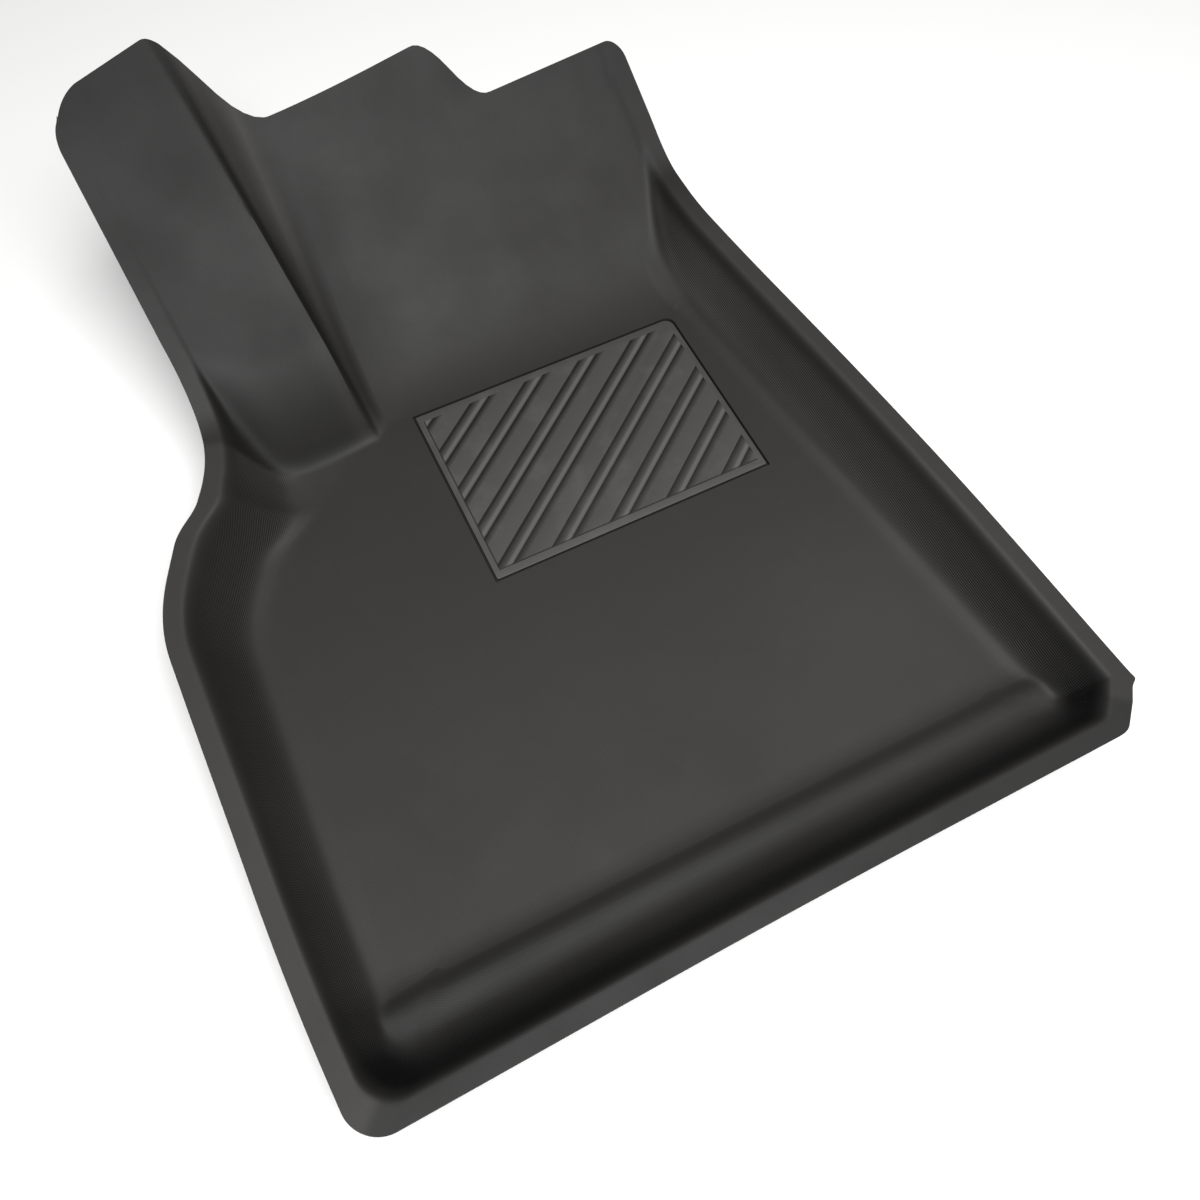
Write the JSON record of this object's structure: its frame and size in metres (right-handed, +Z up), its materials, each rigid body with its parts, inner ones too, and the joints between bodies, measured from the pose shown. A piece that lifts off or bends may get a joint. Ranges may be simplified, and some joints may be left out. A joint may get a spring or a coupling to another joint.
{
  "type": "car floor mat",
  "caption": "Moulded floor mat for a left-hand-drive car's driver footwell, with raised walls, a footrest, a ribbed heel pad and hook-tape patches below.",
  "frame": {"origin": "middle of the outline's bounding rectangle, on the plane that the hook-tape patches stand on", "axes": "+Z up, +Y towards the front of the car, +X towards the car's right-hand side"},
  "size_m": [0.6021, 0.7809, 0.2016],
  "materials": {
    "skin": "matte charcoal thermoplastic elastomer with a fine embossed grain",
    "foam": "black closed-cell foam",
    "felt": "dark grey needle felt",
    "pad": "dark grey ribbed elastomer, slightly smoother than the skin",
    "hook": "black hook tape"
  },
  "bodies": {
    "root": {"wear_skin": "skin", "foam_core": "foam", "backing_felt": "felt", "heel_pad": "pad", "hook_patch_rear_left": "hook", "hook_patch_rear_right": "hook", "hook_patch_front_left": "hook", "hook_patch_front_right": "hook"}
  },
  "joints": []
}
